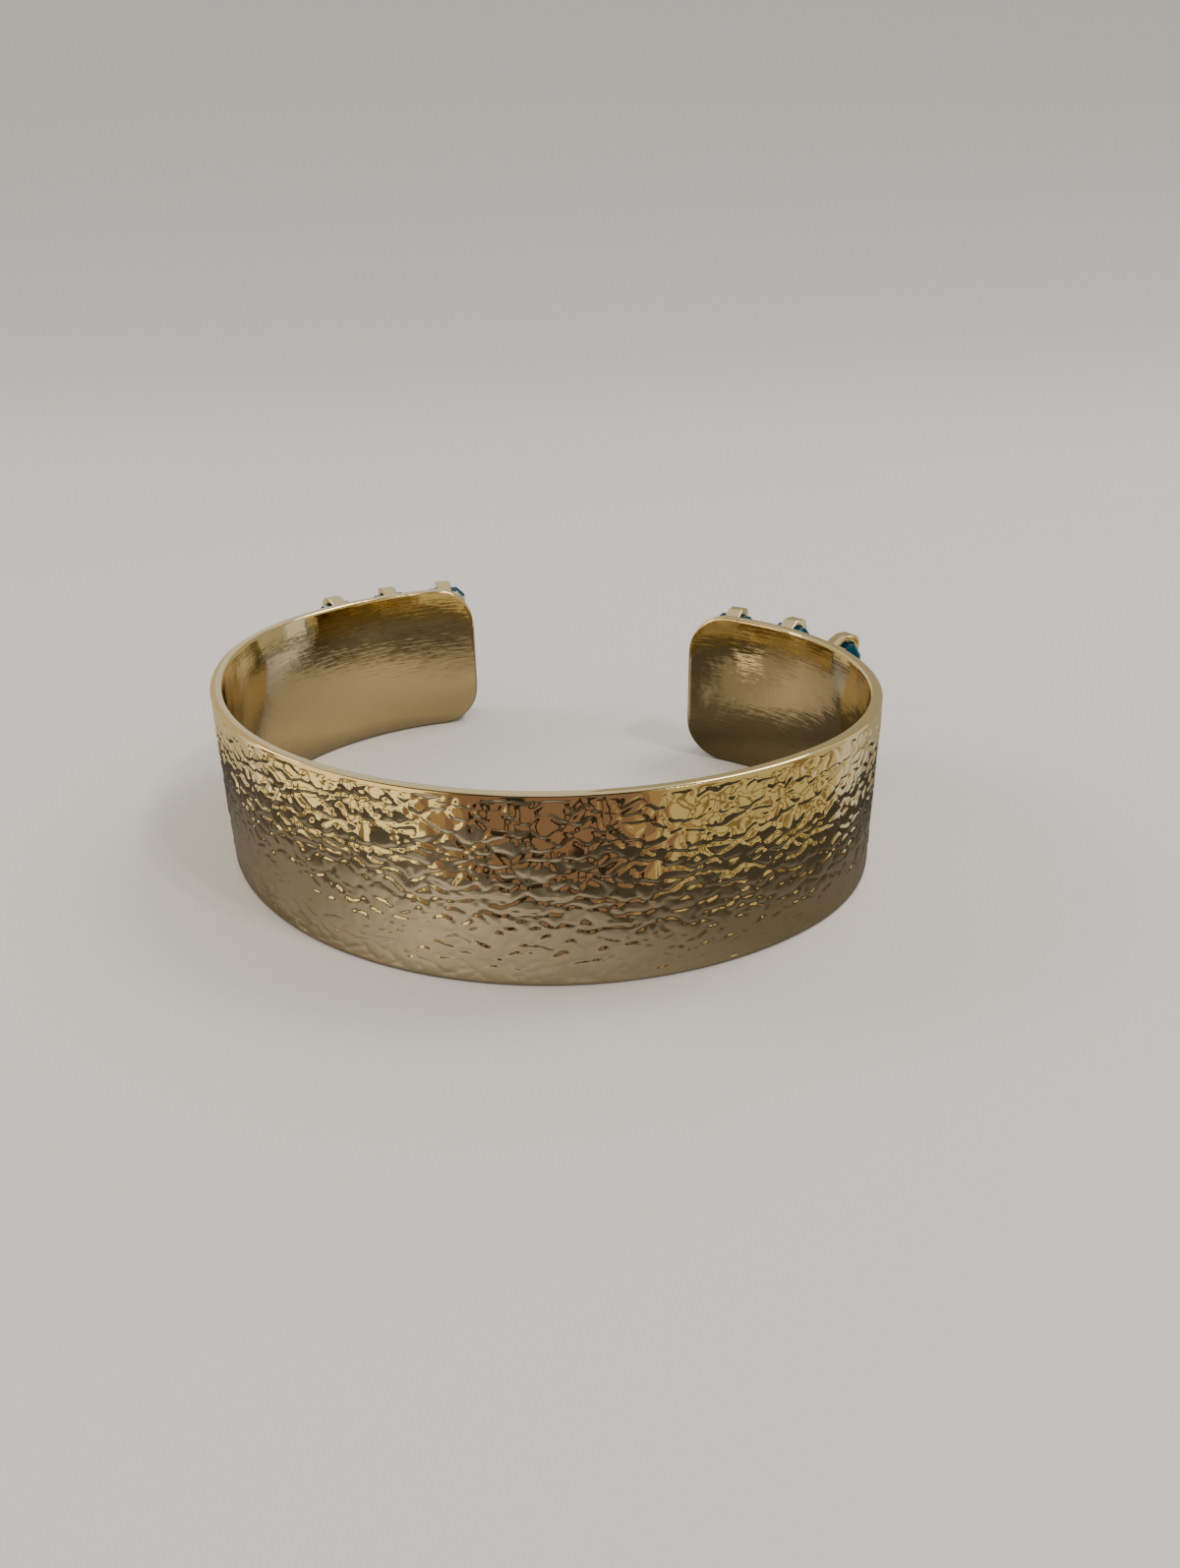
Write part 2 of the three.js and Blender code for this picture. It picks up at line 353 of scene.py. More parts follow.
# %% Flat strip
def flat_strip():
    """The strip before it is bent; x is the run, y the depth and z the height."""
    bm = bmesh.new()
    start = -side_length(LEFT)
    corners = [
        bm.verts.new((start, y, z))
        for y, z in (
            (0, 0),
            (0, BAND_HEIGHT),
            (-BAND_THICKNESS, BAND_HEIGHT),
            (-BAND_THICKNESS, 0),
        )
    ]
    bm.faces.new(corners)
    bmesh.ops.bevel(
        bm,
        geom=corners,
        offset=EDGE_ROUND,
        offset_type="OFFSET",
        segments=EDGE_SEGMENTS,
        profile=0.5,
        affect="VERTICES",
        material=-1,
    )
    sides = [e for e in bm.edges if abs(e.verts[0].co.z - e.verts[1].co.z) > HALF_HEIGHT]
    for edge in sides:
        rows = RELIEF_ROWS if edge.verts[0].co.y > -HALF_THICKNESS else INSIDE_ROWS
        bmesh.ops.subdivide_edges(bm, edges=[edge], cuts=rows - 1)
    length = side_length(LEFT) + side_length(RIGHT)
    drawn = bmesh.ops.extrude_face_region(bm, geom=bm.faces[:])
    moved = [g for g in drawn["geom"] if isinstance(g, bmesh.types.BMVert)]
    bmesh.ops.translate(bm, verts=moved, vec=(length, 0, 0))
    long_edges = [e for e in bm.edges if abs(e.verts[0].co.x - e.verts[1].co.x) > length / 2]
    bmesh.ops.subdivide_edges(bm, edges=long_edges, cuts=RELIEF_COLUMNS - 1)
    return bm


# %% Rounded ends
def corner_drop(radius, distance):
    """How far a round corner has dropped, at a distance from where it starts."""
    left = max(0.0, radius - distance)
    return radius - math.sqrt(radius * radius - left * left)


def round_ends(bm):
    """Draws in the strip's height and thickness towards its two tips."""
    tips = (-side_length(LEFT), side_length(RIGHT))
    for vert in bm.verts:
        tip = min(tips, key=lambda run: abs(run - vert.co.x))
        distance = abs(vert.co.x - tip)
        if distance >= TIP_CORNER:
            continue
        distance = TIP_CORNER * (1 - math.cos(math.pi / 2 * distance / TIP_CORNER))
        closing = corner_drop(EDGE_ROUND, distance)
        drop = corner_drop(TIP_CORNER, distance) + closing
        up = vert.co.z - HALF_HEIGHT
        out = vert.co.y + HALF_THICKNESS
        up -= math.copysign(drop, up) * min(1.0, abs(up) / (HALF_HEIGHT - EDGE_ROUND))
        out -= math.copysign(closing, out) * min(1.0, abs(out) / (HALF_THICKNESS - EDGE_ROUND))
        inwards = 1 if tip < 0 else -1
        vert.co = (tip + inwards * distance, out - HALF_THICKNESS, up + HALF_HEIGHT)


# %% [markdown]
# ### The hammer's blows
# The hammered face has flat blows about 1.5 mm long and 1.25 mm high. Each is a cell of a
# warped cell pattern: a nearly flat facet that leans its own way and drops steeply to a narrow
# crease along its border. A slower wave swells under all of them. Plain noise would give soft
# hills instead, and not the sharp creases that a hammer leaves.

# %% One hammered height
BLOW_LENGTH, BLOW_HEIGHT = 1.5 * MM, 1.25 * MM
CREASE_DEPTH = 0.09 * MM
CREASE_SHARE = 0.22
LEAN_HEIGHT = 0.13 * MM
SWELL_HEIGHT = 0.10 * MM

# The flat slice of the pattern, and the amounts and grains that go with its blows
PATTERN_SLICE = 3.7
WARP_AMOUNT, WARP_GRAIN = 0.5, 0.8
LEAN_GRAIN, SWELL_GRAIN = 5.3, 0.5

# Without a seed of its own, noise_vector gives another pattern on every run
BLOW_SEED = 7
noise.seed_set(BLOW_SEED)


def hammered(run, height):
    """Height of the hammered face at a place on the flat strip, in metres."""
    spot = Vector((run / BLOW_LENGTH, height / BLOW_HEIGHT, PATTERN_SLICE))
    warped = spot + WARP_AMOUNT * noise.noise_vector(spot * WARP_GRAIN)
    distances, centres = noise.voronoi(warped)
    lean = noise.noise_vector(centres[0] * LEAN_GRAIN)
    facet = smooth_step(0.0, CREASE_SHARE, distances[1] - distances[0])
    slant = (warped - centres[0]).dot(lean)
    swell = noise.noise(spot * SWELL_GRAIN)
    return CREASE_DEPTH * (facet - 1) + LEAN_HEIGHT * facet * slant + SWELL_HEIGHT * swell


# %% Hammer the outer face
RIM_WIDTH, RIM_FADE = 0.30 * MM, 0.35 * MM
OUTER_FACE_DEPTH = 0.02 * MM


def hammer(bm):
    """Moves the points of the outer face in and out, and leaves a plain rim along every edge."""
    left, right = -side_length(LEFT), side_length(RIGHT)
    for vert in bm.verts:
        run, depth, height = vert.co
        if depth < -OUTER_FACE_DEPTH:
            continue
        tip_distance = min(run - left, right - run)
        edge = HALF_HEIGHT - corner_drop(TIP_CORNER, tip_distance) - abs(height - HALF_HEIGHT)
        share = smooth_step(RIM_WIDTH, RIM_WIDTH + RIM_FADE, min(edge, tip_distance))
        if share > 0:
            vert.co.y += share * hammered(run, height)


# %% Make the band
def make_band():
    """The whole strip: drawn, rounded, hammered and bent."""
    bm = flat_strip()
    for face in bm.faces:
        inside = face.calc_center_median().y < EDGE_ROUND / 2 - BAND_THICKNESS
        face.material_index = 1 if inside else 0
    round_ends(bm)
    hammer(bm)
    for vert in bm.verts:
        vert.co = bend(*vert.co)
    finish_piece("band", bm, [gold_hammered, gold_inside])


make_band()

# %% [markdown]
# ## Stones and their settings
# Each arm carries three stones that stand across the band. A stone and its setting are easiest
# to make in axes of their own, x along the band, y up it and z out of its face, and one matrix
# then carries them to their place on the bent band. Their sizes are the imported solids' sizes, so
# each dressed stone fills the box of its solid.

# %% Sizes of stones and settings
STONES_PER_ARM = 3
STONE_PITCH = {LEFT: 6.0 * MM, RIGHT: 6.15 * MM}
TIP_TO_STONE = {LEFT: 3.0 * MM, RIGHT: 3.9 * MM}
STONE_WIDTH, STONE_LENGTH = 5.0 * MM, 15.0 * MM
CORNER_CUT = 0.9 * MM
GIRDLE_LEVEL, CROWN_LEVEL, TABLE_LEVEL = 2.7 * MM, 2.9 * MM, 3.8 * MM
SHOULDER_LEVEL, CULET_LEVEL = 1.44 * MM, 0.6 * MM
SEAT_GAP = 0.25 * MM
CUP_WALL, CUP_TAPER, CUP_FLOOR = 0.35 * MM, 0.2 * MM, 0.35 * MM
RIM_LEVEL = 1.74 * MM
SOLDER_DEPTH = 0.3 * MM
CLAW_WIDTH, CLAW_THICKNESS, CLAW_REACH = 1.6 * MM, 0.4 * MM, 1.4 * MM

# Insets of the crown's steepest row and of the table from the girdle, and the row's rise
CROWN_INSET, CROWN_RISE = 0.4 * MM, 0.495 * MM
TABLE_INSET = 0.95 * MM

# Insets from the girdle: of the pavilion's shoulder, and of the cup's seat at its rim
SHOULDER_INSET = 1.125 * MM
SEAT_SLOPE = SHOULDER_INSET / (GIRDLE_LEVEL - SHOULDER_LEVEL)


def seat_inset(level):
    """Inset of the cup's seat from the girdle, clear of the pavilion by the gap."""
    return SEAT_SLOPE * (GIRDLE_LEVEL - level) - SEAT_GAP * math.hypot(1, SEAT_SLOPE)


# %% Where each stone stands
def stone_axes(side, index):
    """Matrix from a stone's own axes to the frame, the first stone being nearest the tip."""
    run = side * (side_length(side) - TIP_TO_STONE[side] - index * STONE_PITCH[side])
    _, along, outward = outer_face_at(run)
    axes = Matrix((along, Vector((0, 0, 1)), outward)).transposed().to_4x4()
    return Matrix.Translation(bend(run, 0, HALF_HEIGHT)) @ axes


# %% Octagon ring
SMALLEST_CUT = 0.04 * MM


def octagon(bm, inset, level):
    """Eight vertices that lie inset from the girdle on all sides, at a level above the band."""
    half_width = STONE_WIDTH / 2 - inset
    half_length = STONE_LENGTH / 2 - inset
    cut = max(SMALLEST_CUT, CORNER_CUT - inset * (2 - math.sqrt(2)))
    corners = []
    for x, y in ((1, 1), (-1, 1), (-1, -1), (1, -1)):
        near_end = (x * (half_width - cut), y * half_length)
        near_side = (x * half_width, y * (half_length - cut))
        corners += [near_side, near_end] if x * y > 0 else [near_end, near_side]
    return [bm.verts.new((x, y, level)) for x, y in corners]


def octagon_edges(bm, ring):
    """The closed loop of edges through a ring of vertices."""
    return [bm.edges.new((ring[i], ring[(i + 1) % len(ring)])) for i in range(len(ring))]


def stack_octagons(bm, rows):
    """A closed body through octagons given as rows of inset and level, with flat ends."""
    rings = [octagon(bm, inset, level) for inset, level in rows]
    loops = [octagon_edges(bm, ring) for ring in rings]
    for lower, upper in zip(loops, loops[1:]):
        bmesh.ops.bridge_loops(bm, edges=lower + upper)
    bm.faces.new(rings[0])
    bm.faces.new(rings[-1])


# %% [markdown]
# ### The settings
# The cup is an octagon tray with a sloping seat for the stone. Octagons of several sizes are
# stacked and bridged, which is simpler than cutting a pocket out of a block. The claws are flat
# strips that leave the tray's end walls and fold over the crown, so each is drawn from the side
# and then given its width. Bevels break the edges, which sawn and filed metal never has sharp.

# %% Cup
CUP_EDGE = 0.07 * MM
CUP_CORNER = math.radians(20)


def make_cup(bm):
    """The tray that a stone's pavilion sinks into, as one skin from outside to pocket floor."""
    rim_inset = seat_inset(RIM_LEVEL)
    stack_octagons(
        bm,
        [
            (rim_inset - CUP_WALL + CUP_TAPER, -SOLDER_DEPTH),
            (rim_inset - CUP_WALL, RIM_LEVEL),
            (rim_inset, RIM_LEVEL),
            (seat_inset(SHOULDER_LEVEL), SHOULDER_LEVEL),
            (seat_inset(SHOULDER_LEVEL), CUP_FLOOR),
        ],
    )
    bmesh.ops.recalc_face_normals(bm, faces=bm.faces)
    bmesh.ops.bevel(
        bm,
        geom=[e for e in bm.edges if e.calc_face_angle(0) > CUP_CORNER],
        offset=CUP_EDGE,
        segments=2,
        profile=0.5,
        affect="EDGES",
        material=-1,
    )


# %% Side view of a claw
KNEE_STEPS = 6


def claw_outline():
    """Side view of a claw, as pairs of distance from the stone's middle and level."""
    half = STONE_LENGTH / 2
    foot = half - seat_inset(RIM_LEVEL)
    inside = half + SEAT_GAP
    outside = inside + CLAW_THICKNESS
    underside = TABLE_LEVEL + SEAT_GAP / 2
    top = underside + CLAW_THICKNESS
    shoulder = CROWN_LEVEL + CROWN_RISE
    knee = [(outside, shoulder)]
    for step in range(1, KNEE_STEPS + 1):
        share = step / KNEE_STEPS
        bow = 2 * share * (1 - share)
        distance = outside * ((1 - share) ** 2 + bow) + (half - CROWN_INSET) * share**2
        level = shoulder * (1 - share) ** 2 + top * (bow + share**2)
        knee.append((distance, level))
    return [
        (foot, -SOLDER_DEPTH),
        (foot + CLAW_THICKNESS, -SOLDER_DEPTH),
        (foot + CLAW_THICKNESS, RIM_LEVEL - CLAW_THICKNESS),
        (outside, GIRDLE_LEVEL - SEAT_GAP),
        *knee,
        (half - CLAW_REACH, top),
        (half - CLAW_REACH, underside),
        (half - TABLE_INSET, underside),
        (half - CROWN_INSET + SEAT_GAP, shoulder + SEAT_GAP / 2),
        (inside, CROWN_LEVEL),
        (inside, GIRDLE_LEVEL - SEAT_GAP),
        (foot, RIM_LEVEL),
    ]


# %% Claw
CLAW_EDGE = 0.09 * MM
CLAW_CORNER = math.radians(35)


def make_claw(bm, end):
    """A claw at the upper end (1) or the lower end (-1) of a stone."""
    side_face = [bm.verts.new((-CLAW_WIDTH / 2, end * y, z)) for y, z in claw_outline()]
    face = bm.faces.new(side_face)
    drawn = bmesh.ops.extrude_face_region(bm, geom=[face])
    moved = [g for g in drawn["geom"] if isinstance(g, bmesh.types.BMVert)]
    bmesh.ops.translate(bm, verts=moved, vec=(CLAW_WIDTH, 0, 0))
    claw_faces = {f for v in side_face + moved for f in v.link_faces}
    bmesh.ops.recalc_face_normals(bm, faces=list(claw_faces))
    claw_edges = {e for f in claw_faces for e in f.edges}
    bmesh.ops.bevel(
        bm,
        geom=[e for e in claw_edges if e.calc_face_angle(0) > CLAW_CORNER],
        offset=CLAW_EDGE,
        segments=3,
        profile=0.5,
        affect="EDGES",
        material=-1,
    )


# %% Make the settings
SIDE_NAMES = {LEFT: "left", RIGHT: "right"}
SHARP_ANGLE = math.radians(40)


def make_setting(side, index):
    """Cup and two claws of one stone, as one piece of metal."""
    bm = bmesh.new()
    make_cup(bm)
    for end in (1, -1):
        make_claw(bm, end)
    bmesh.ops.transform(bm, matrix=stone_axes(side, index), verts=bm.verts)
    setting = finish_piece(f"setting_{SIDE_NAMES[side]}_{index + 1}", bm, [gold_setting])
    setting.data.set_sharp_from_angle(angle=SHARP_ANGLE)


for side in (LEFT, RIGHT):
    for index in range(STONES_PER_ARM):
        make_setting(side, index)

# %% [markdown]
# ### The stones
# A step cut has long flat facets in rows that run parallel to the girdle. Here the crown has
# three rows and the pavilion four, each a little steeper than the one inside it. The facets are
# flat, so the mesh isn't smoothed, and hair-thin bevels along their edges catch the light. Clear
# glass in a dark cup looks black, which is why such stones are backed with a bright foil. The
# lower rows of facets carry the foil, as a blue mirror with a material of its own.

# %% Blue glass and its foil
STONE_CLOUD_GRAIN = 300
GLASS_IOR, GLASS_CLEARNESS = 1.62, 0.88


def make_blue(name, color, share, roughness):
    """Blue for a cut stone, whose tone and polish drift a little over its facets."""
    material = bpy.data.materials.new(name)
    material.use_nodes = True
    nodes, links = material.node_tree.nodes, material.node_tree.links
    shader = nodes["Principled BSDF"]
    mask = cloudy_color(nodes, links, shader, color, share, STONE_CLOUD_GRAIN)
    smears = nodes.new("ShaderNodeMapRange")
    smears.inputs["To Min"].default_value, smears.inputs["To Max"].default_value = roughness
    links.new(mask, smears.inputs["Value"])
    links.new(smears.outputs["Result"], shader.inputs["Roughness"])
    print(name, "has", len(nodes), "nodes")
    return material, shader


# Colour, its share where it is darkest, and the least and greatest roughness
blue_glass, glass_shader = make_blue("blue_glass", (0.05, 0.44, 0.80), 0.9, (0.005, 0.02))
glass_shader.inputs["IOR"].default_value = GLASS_IOR
glass_shader.inputs["Transmission Weight"].default_value = GLASS_CLEARNESS
blue_foil, foil_shader = make_blue("blue_foil", (0.35, 0.72, 0.95), 0.85, (0.09, 0.16))
foil_shader.inputs["Metallic"].default_value = 1.0

# %% Rows of facets
# The foil reaches up to the pavilion's uppermost row, and the culet is a narrow ridge
FOIL_LEVEL = 2.12 * MM
CULET_INSET = 0.93 * STONE_WIDTH / 2

# Rows of inset and level, from the culet up to the table
STONE_ROWS = [
    (CULET_INSET, CULET_LEVEL),
    (1.80 * MM, 1.00 * MM),
    (SHOULDER_INSET, SHOULDER_LEVEL),
    (0.50 * MM, FOIL_LEVEL),
    (0, GIRDLE_LEVEL),
    (0, CROWN_LEVEL),
    (0.17 * MM, 3.16 * MM),
    (CROWN_INSET, CROWN_LEVEL + CROWN_RISE),
    (TABLE_INSET, TABLE_LEVEL),
]
print("a stone has", len(STONE_ROWS) - 1, "rows of facets, its girdle among them")

# %% Make the stones
FACET_EDGE = 0.02 * MM


def make_stone(side, index):
    """One step-cut stone, from its rows of facets."""
    bm = bmesh.new()
    stack_octagons(bm, STONE_ROWS)
    bmesh.ops.recalc_face_normals(bm, faces=bm.faces)
    bmesh.ops.bevel(
        bm,
        geom=bm.edges[:],
        offset=FACET_EDGE,
        segments=1,
        profile=0.5,
        affect="EDGES",
        material=-1,
    )
    for face in bm.faces:
        face.material_index = 1 if face.calc_center_median().z < FOIL_LEVEL else 0
    bmesh.ops.transform(bm, matrix=stone_axes(side, index), verts=bm.verts)
    name = f"stone_{SIDE_NAMES[side]}_{index + 1}"
    materials = [blue_glass, blue_foil]
    finish_piece(f"cut_{name}", bm, materials, False, name)


for side in (LEFT, RIGHT):
    for index in range(STONES_PER_ARM):
        make_stone(side, index)

# %% [markdown]
# ## The studio
# The cuff lies on a plain pale floor under soft light. Polished metal shows its surroundings
# more than its own colour, so the studio is built for its reflections: a bright soft room, a
# darker ground that only reflections see in place of the pale floor, warm cards that stand
# round the cuff, and a dark one behind the camera. Lamps alone would leave the metal white and
# black. The ground is painted in soft zones of grey, because the metal's lower half is a mirror
# of it: painted shadows of the cuff, a painted pool of light and a painted bright spot.

# %% Painted light and shade of the mirrored ground, as pairs of millimetres and grey
GROUND_RADIUS = 50 * MM

# Outside the cuff, by the distance from its middle and from left to right: greys that fall off far
# out, and painted shadows of the cuff that darken the ground to its left and right
OUTSIDE_TINT = (1.0, 0.98, 1.15, 1)
OUTSIDE = [(0, 0.50), (36, 0.50), (42, 0.13), (50, 0.06)]
OUTSIDE_SHADOWS_ACROSS = [(-34, 0.30), (-12, 0.48), (2, 1.0), (14, 0.66), (30, 0.22)]

# Inside the cuff: a painted pool of light with painted shadow round it, and a small painted bright
# spot, each by the distance from it; painted shade also dims the pool along its depth
INSIDE_TINT = (1.0, 0.90, 0.80, 1)
POOL_PLACE = (-16 * MM, 9 * MM, 0)
POOL = [(0, 0.37), (12, 0.37), (19, 0.28), (21, 0.06), (27, 0.05), (34, 0.15), (60, 0.15)]
POOL_SHADE_DEPTH = [(-28, 0.7), (3, 0.6), (10, 1.0), (16, 0.85), (28, 0.7)]
SPOT_PLACE = (-10 * MM, -6 * MM, 0)
SPOT = [(0, 1.0), (1.5, 0.8), (4.5, 0)]
INSIDE_TO_OUTSIDE = [(26.5, 0), (29.5, 1)]


# %% Helpers for the mirrored ground
def ramp_by_place(nodes, links, value, stops):
    """Greys along a place in metres, from stops of millimetres and grey."""
    low, high = stops[0][0], stops[-1][0]
    spread = nodes.new("ShaderNodeMapRange")
    spread.inputs["From Min"].default_value = low * MM
    spread.inputs["From Max"].default_value = high * MM
    links.new(value, spread.inputs["Value"])
    ramp = nodes.new("ShaderNodeValToRGB")
    elements = ramp.color_ramp.elements
    while len(elements) < len(stops):
        elements.new(0.5)
    for element, (place, grey) in zip(elements, stops):
        element.position = (place - low) / (high - low)
        element.color = (grey, grey, grey, 1)
    links.new(spread.outputs["Result"], ramp.inputs["Fac"])
    return ramp.outputs["Color"]


def distance_to(nodes, links, place, centre):
    """Distance of a place on the floor from a centre, in metres."""
    distance = nodes.new("ShaderNodeVectorMath")
    distance.operation = "DISTANCE"
    distance.inputs[1].default_value = centre
    links.new(place.outputs["Object"], distance.inputs[0])
    return distance.outputs["Value"]


def mix_colors(nodes, links, factor, first, second, blend="MIX"):
    """A colour Mix node; the first and second are sockets or colours."""
    mix = nodes.new("ShaderNodeMix")
    mix.data_type = "RGBA"
    mix.blend_type = blend
    for name, value in (("Factor", factor), ("A", first), ("B", second)):
        if isinstance(value, (int, float, tuple)):
            mix.inputs[name].default_value = value
        else:
            links.new(value, mix.inputs[name])
    return mix.outputs["Result"]


# %% Floor material
FLOOR_COLOR = (0.74, 0.72, 0.70, 1)
FLOOR_ROUGHNESS = 0.85


def floor_material():
    """Plain matt floor, pale to the eye; to the metal it shows a darker ground with painted light
    and shade.
    """
    material = bpy.data.materials.new("floor")
    material.use_nodes = True
    nodes, links = material.node_tree.nodes, material.node_tree.links
    shader = nodes["Principled BSDF"]
    shader.inputs["Roughness"].default_value = FLOOR_ROUGHNESS
    place = nodes.new("ShaderNodeTexCoord")
    axes = nodes.new("ShaderNodeSeparateXYZ")
    links.new(place.outputs["Object"], axes.inputs["Vector"])
    radius = distance_to(nodes, links, place, (0, 0, 0))
    outside = ramp_by_place(nodes, links, radius, OUTSIDE)
    # Painted shadows darken the mirrored ground to the left and right of the cuff
    shadows_across = ramp_by_place(nodes, links, axes.outputs["X"], OUTSIDE_SHADOWS_ACROSS)
    outside = mix_colors(nodes, links, 1.0, outside, shadows_across, "MULTIPLY")
    outside = mix_colors(nodes, links, 1.0, outside, OUTSIDE_TINT, "MULTIPLY")
    # A painted pool of light, with painted shadow round it
    pool = ramp_by_place(nodes, links, distance_to(nodes, links, place, POOL_PLACE), POOL)
    # Painted shade dims the pool along its depth
    depth = ramp_by_place(nodes, links, axes.outputs["Y"], POOL_SHADE_DEPTH)
    pool = mix_colors(nodes, links, 1.0, pool, depth, "MULTIPLY")
    # A painted bright spot of light on the ground
    spot = ramp_by_place(nodes, links, distance_to(nodes, links, place, SPOT_PLACE), SPOT)
    inside = mix_colors(nodes, links, 1.0, pool, spot, "ADD")
    inside = mix_colors(nodes, links, 1.0, inside, INSIDE_TINT, "MULTIPLY")
    share = ramp_by_place(nodes, links, radius, INSIDE_TO_OUTSIDE)
    ground = mix_colors(nodes, links, share, inside, outside)
    # Only reflections see the ground with its painted shadows and painted pool of light
    ray = nodes.new("ShaderNodeLightPath")
    seen = mix_colors(nodes, links, ray.outputs["Is Glossy Ray"], FLOOR_COLOR, ground)
    links.new(seen, shader.inputs["Base Color"])
    print("floor material has", len(nodes), "nodes")
    return material


# %% Pieces of the stage
ROUND_STEPS = 96


def stage_piece(name, bm, material):
    """A new object from a bmesh that belongs to the studio."""
    mesh = bpy.data.meshes.new(name)
    bm.to_mesh(mesh)
    bm.free()
    mesh.shade_smooth()
    mesh.materials.append(material)
    piece = bpy.data.objects.new(name, mesh)
    bpy.context.collection.objects.link(piece)
    return piece


def floor_ring(name, inner, outer, material):
    """A flat ring of the floor, or a disc where its inner radius is 0."""
    bm = bmesh.new()
    bmesh.ops.create_circle(bm, cap_ends=inner == 0, radius=outer, segments=ROUND_STEPS)
    if inner > 0:
        bmesh.ops.create_circle(bm, cap_ends=False, radius=inner, segments=ROUND_STEPS)
        bmesh.ops.bridge_loops(bm, edges=bm.edges[:])
    return stage_piece(name, bm, material)


# %% Wall
WALL_STEPS = 24


def sweep_wall(name, start, bend_radius, height, material):
    """A round wall that the floor sweeps up into, a quarter circle and then straight up."""
    bm = bmesh.new()
    profile = []
    for step in range(WALL_STEPS + 1):
        turn = math.pi / 2 * step / WALL_STEPS
        out = start + bend_radius * math.sin(turn)
        profile.append((out, 0, bend_radius * (1 - math.cos(turn))))
    profile.append((start + bend_radius, 0, height))
    verts = [bm.verts.new(place) for place in profile]
    edges = [bm.edges.new(pair) for pair in zip(verts, verts[1:])]
    bmesh.ops.spin(
        bm,
        geom=verts + edges,
        axis=(0, 0, 1),
        cent=(0, 0, 0),
        angle=2 * math.pi,
        steps=ROUND_STEPS,
        use_merge=True,
    )
    return stage_piece(name, bm, material)


# %% Lay the floor and raise the wall
FLOOR_RADIUS, WALL_BEND, WALL_HEIGHT = 0.4, 1.4, 2.4

floor_and_painted_ground = floor_material()
floor_ring("floor_near", 0, GROUND_RADIUS, floor_and_painted_ground)
floor_far = floor_ring("floor_far", GROUND_RADIUS, FLOOR_RADIUS, floor_and_painted_ground)
floor_far.visible_glossy = False
backdrop = sweep_wall("backdrop", FLOOR_RADIUS, WALL_BEND, WALL_HEIGHT, floor_and_painted_ground)
backdrop.visible_glossy = False
backdrop.visible_diffuse = False
backdrop.visible_transmission = False
backdrop.visible_shadow = False
print("the wall stands", round(FLOOR_RADIUS + WALL_BEND, 1), "m out")

# %% Room light
ROOM_COLOR, ROOM_STRENGTH = (1.0, 0.96, 0.90, 1), 0.70

world = bpy.data.worlds.new("studio")
bpy.context.scene.world = world
world.use_nodes = True
room = world.node_tree.nodes["Background"]
room.inputs["Color"].default_value = ROOM_COLOR
room.inputs["Strength"].default_value = ROOM_STRENGTH
print("room light", ROOM_STRENGTH)


# %% [markdown]
# ### Cards that only the metal sees
# A photographer of jewellery stands cards round it, and so does this studio. Each card glows
# evenly in its own colour and is hidden from the camera. The thin posts and beams stand before
# the bright panels and break their reflections into streaks.

# %% Card
# The grid's size is half its width, so this one is a metre wide before it is scaled
METRE_GRID = 0.5


def card(name, azimuth, distance, width, low, high, color, strength):
    """An upright glowing card round the cuff; azimuth 0 is in front, and 90 at its right."""
    bm = bmesh.new()
    bmesh.ops.create_grid(bm, x_segments=1, y_segments=1, size=METRE_GRID)
    bmesh.ops.scale(bm, verts=bm.verts, vec=(width, high - low, 1))
    bmesh.ops.rotate(bm, verts=bm.verts, matrix=Matrix.Rotation(math.pi / 2, 3, "X"))
    bmesh.ops.translate(bm, verts=bm.verts, vec=(0, -distance, (low + high) / 2))
    turn = Matrix.Rotation(math.radians(azimuth), 3, "Z")
    bmesh.ops.rotate(bm, verts=bm.verts, matrix=turn)
    material = bpy.data.materials.new(name)
    material.use_nodes = True
    nodes, links = material.node_tree.nodes, material.node_tree.links
    nodes.remove(nodes["Principled BSDF"])
    glow = nodes.new("ShaderNodeEmission")
    glow.inputs["Color"].default_value = (*color, 1)
    glow.inputs["Strength"].default_value = strength
    links.new(glow.outputs["Emission"], nodes["Material Output"].inputs["Surface"])
    piece = stage_piece(name, bm, material)
    piece.visible_camera = False
    piece.visible_diffuse = False
    piece.visible_shadow = False


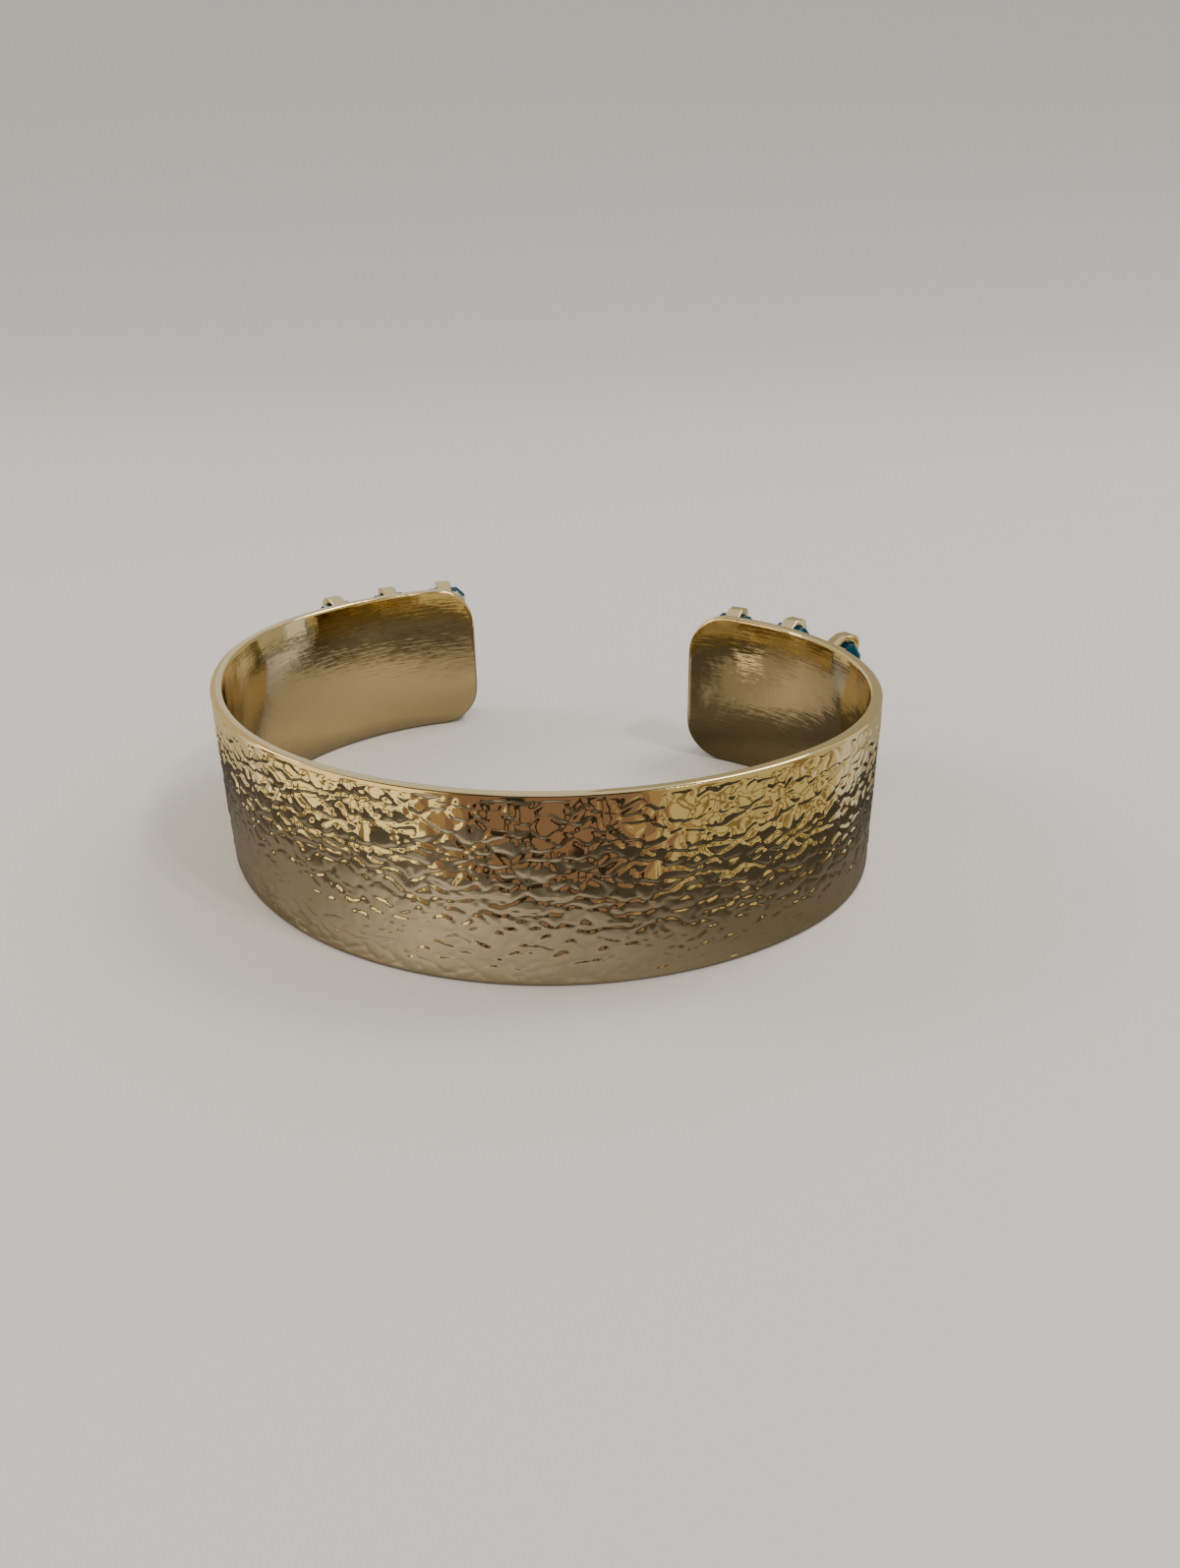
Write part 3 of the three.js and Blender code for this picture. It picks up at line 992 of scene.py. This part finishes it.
# %% Stand the cards
# Name, azimuth in degrees, distance, width, lower and upper edge in metres, colour and strength
CARDS = [
    ("copper_card", 22, 0.113, 0.11, -0.12, 0.08, (0.24, 0.148, 0.11), 1.0),
    ("copper_fringe", 22, 0.116, 0.15, -0.12, 0.09, (0.40, 0.28, 0.15), 0.9),
    ("dark_card_low", 14, 0.110, 0.012, -0.12, 0.06, (0.03, 0.025, 0.02), 1.0),
    ("dark_card_high", 34, 0.110, 0.010, -0.05, 0.03, (0.03, 0.025, 0.02), 1.0),
    ("dark_hood", 22, 0.111, 0.13, 0.08, 0.20, (0.035, 0.03, 0.025), 1.0),
    ("left_panel", -45, 0.16, 0.20, -0.15, 0.20, (1.0, 0.83, 0.52), 1.35),
    ("left_hood", -45, 0.15, 0.24, 0.16, 0.50, (0.20, 0.15, 0.08), 1.0),
    ("right_hood", 82, 0.15, 0.28, 0.16, 0.50, (0.20, 0.15, 0.08), 1.0),
    ("left_post_far", -66, 0.15, 0.018, -0.15, 0.10, (0.30, 0.22, 0.12), 0.8),
    ("left_post_near", -34, 0.15, 0.012, -0.15, 0.05, (0.30, 0.22, 0.12), 0.9),
    ("left_beam", -45, 0.15, 0.17, -0.035, -0.022, (0.28, 0.20, 0.10), 0.8),
    ("left_side_panel", -105, 0.17, 0.14, -0.15, 0.16, (1.0, 0.84, 0.56), 0.6),
    ("right_panel", 82, 0.16, 0.24, -0.15, 0.16, (1.0, 0.84, 0.48), 0.56),
    ("right_post_near", 66, 0.15, 0.014, -0.15, 0.05, (0.30, 0.22, 0.10), 0.8),
    ("right_post_far", 96, 0.15, 0.018, -0.15, 0.10, (0.30, 0.22, 0.10), 0.8),
    ("right_beam", 80, 0.15, 0.20, -0.035, -0.022, (0.28, 0.20, 0.10), 0.8),
    ("back_panel", 170, 0.20, 0.25, -0.15, 0.20, (0.97, 0.87, 0.64), 0.42),
]
for measures in CARDS:
    card(*measures)
print(len(CARDS), "cards")

# %% Soft lights
LAMP_COLOR = (1.0, 0.95, 0.88)

# Name, place and size in metres, and power in watts
LAMPS = [
    ("soft_top", (0.25, 0.30, 0.60), 0.25, 1.6),
    ("soft_left", (-0.5, -0.1, 0.35), 0.2, 0.8),
    ("lamp_near", (0.31, -0.10, 0.45), 0.03, 0.35),
    ("lamp_far", (0.33, -0.06, 0.45), 0.03, 0.35),
]


def area_light(name, place, size, power):
    """A square soft light at a place, aimed at the cuff."""
    data = bpy.data.lights.new(name, "AREA")
    data.size = size
    data.energy = power
    data.color = LAMP_COLOR
    lamp = bpy.data.objects.new(name, data)
    bpy.context.collection.objects.link(lamp)
    lamp.location = place
    lamp.rotation_euler = Vector(place).to_track_quat("Z", "Y").to_euler()


for measures in LAMPS:
    area_light(*measures)
print(len(LAMPS), "soft lights")
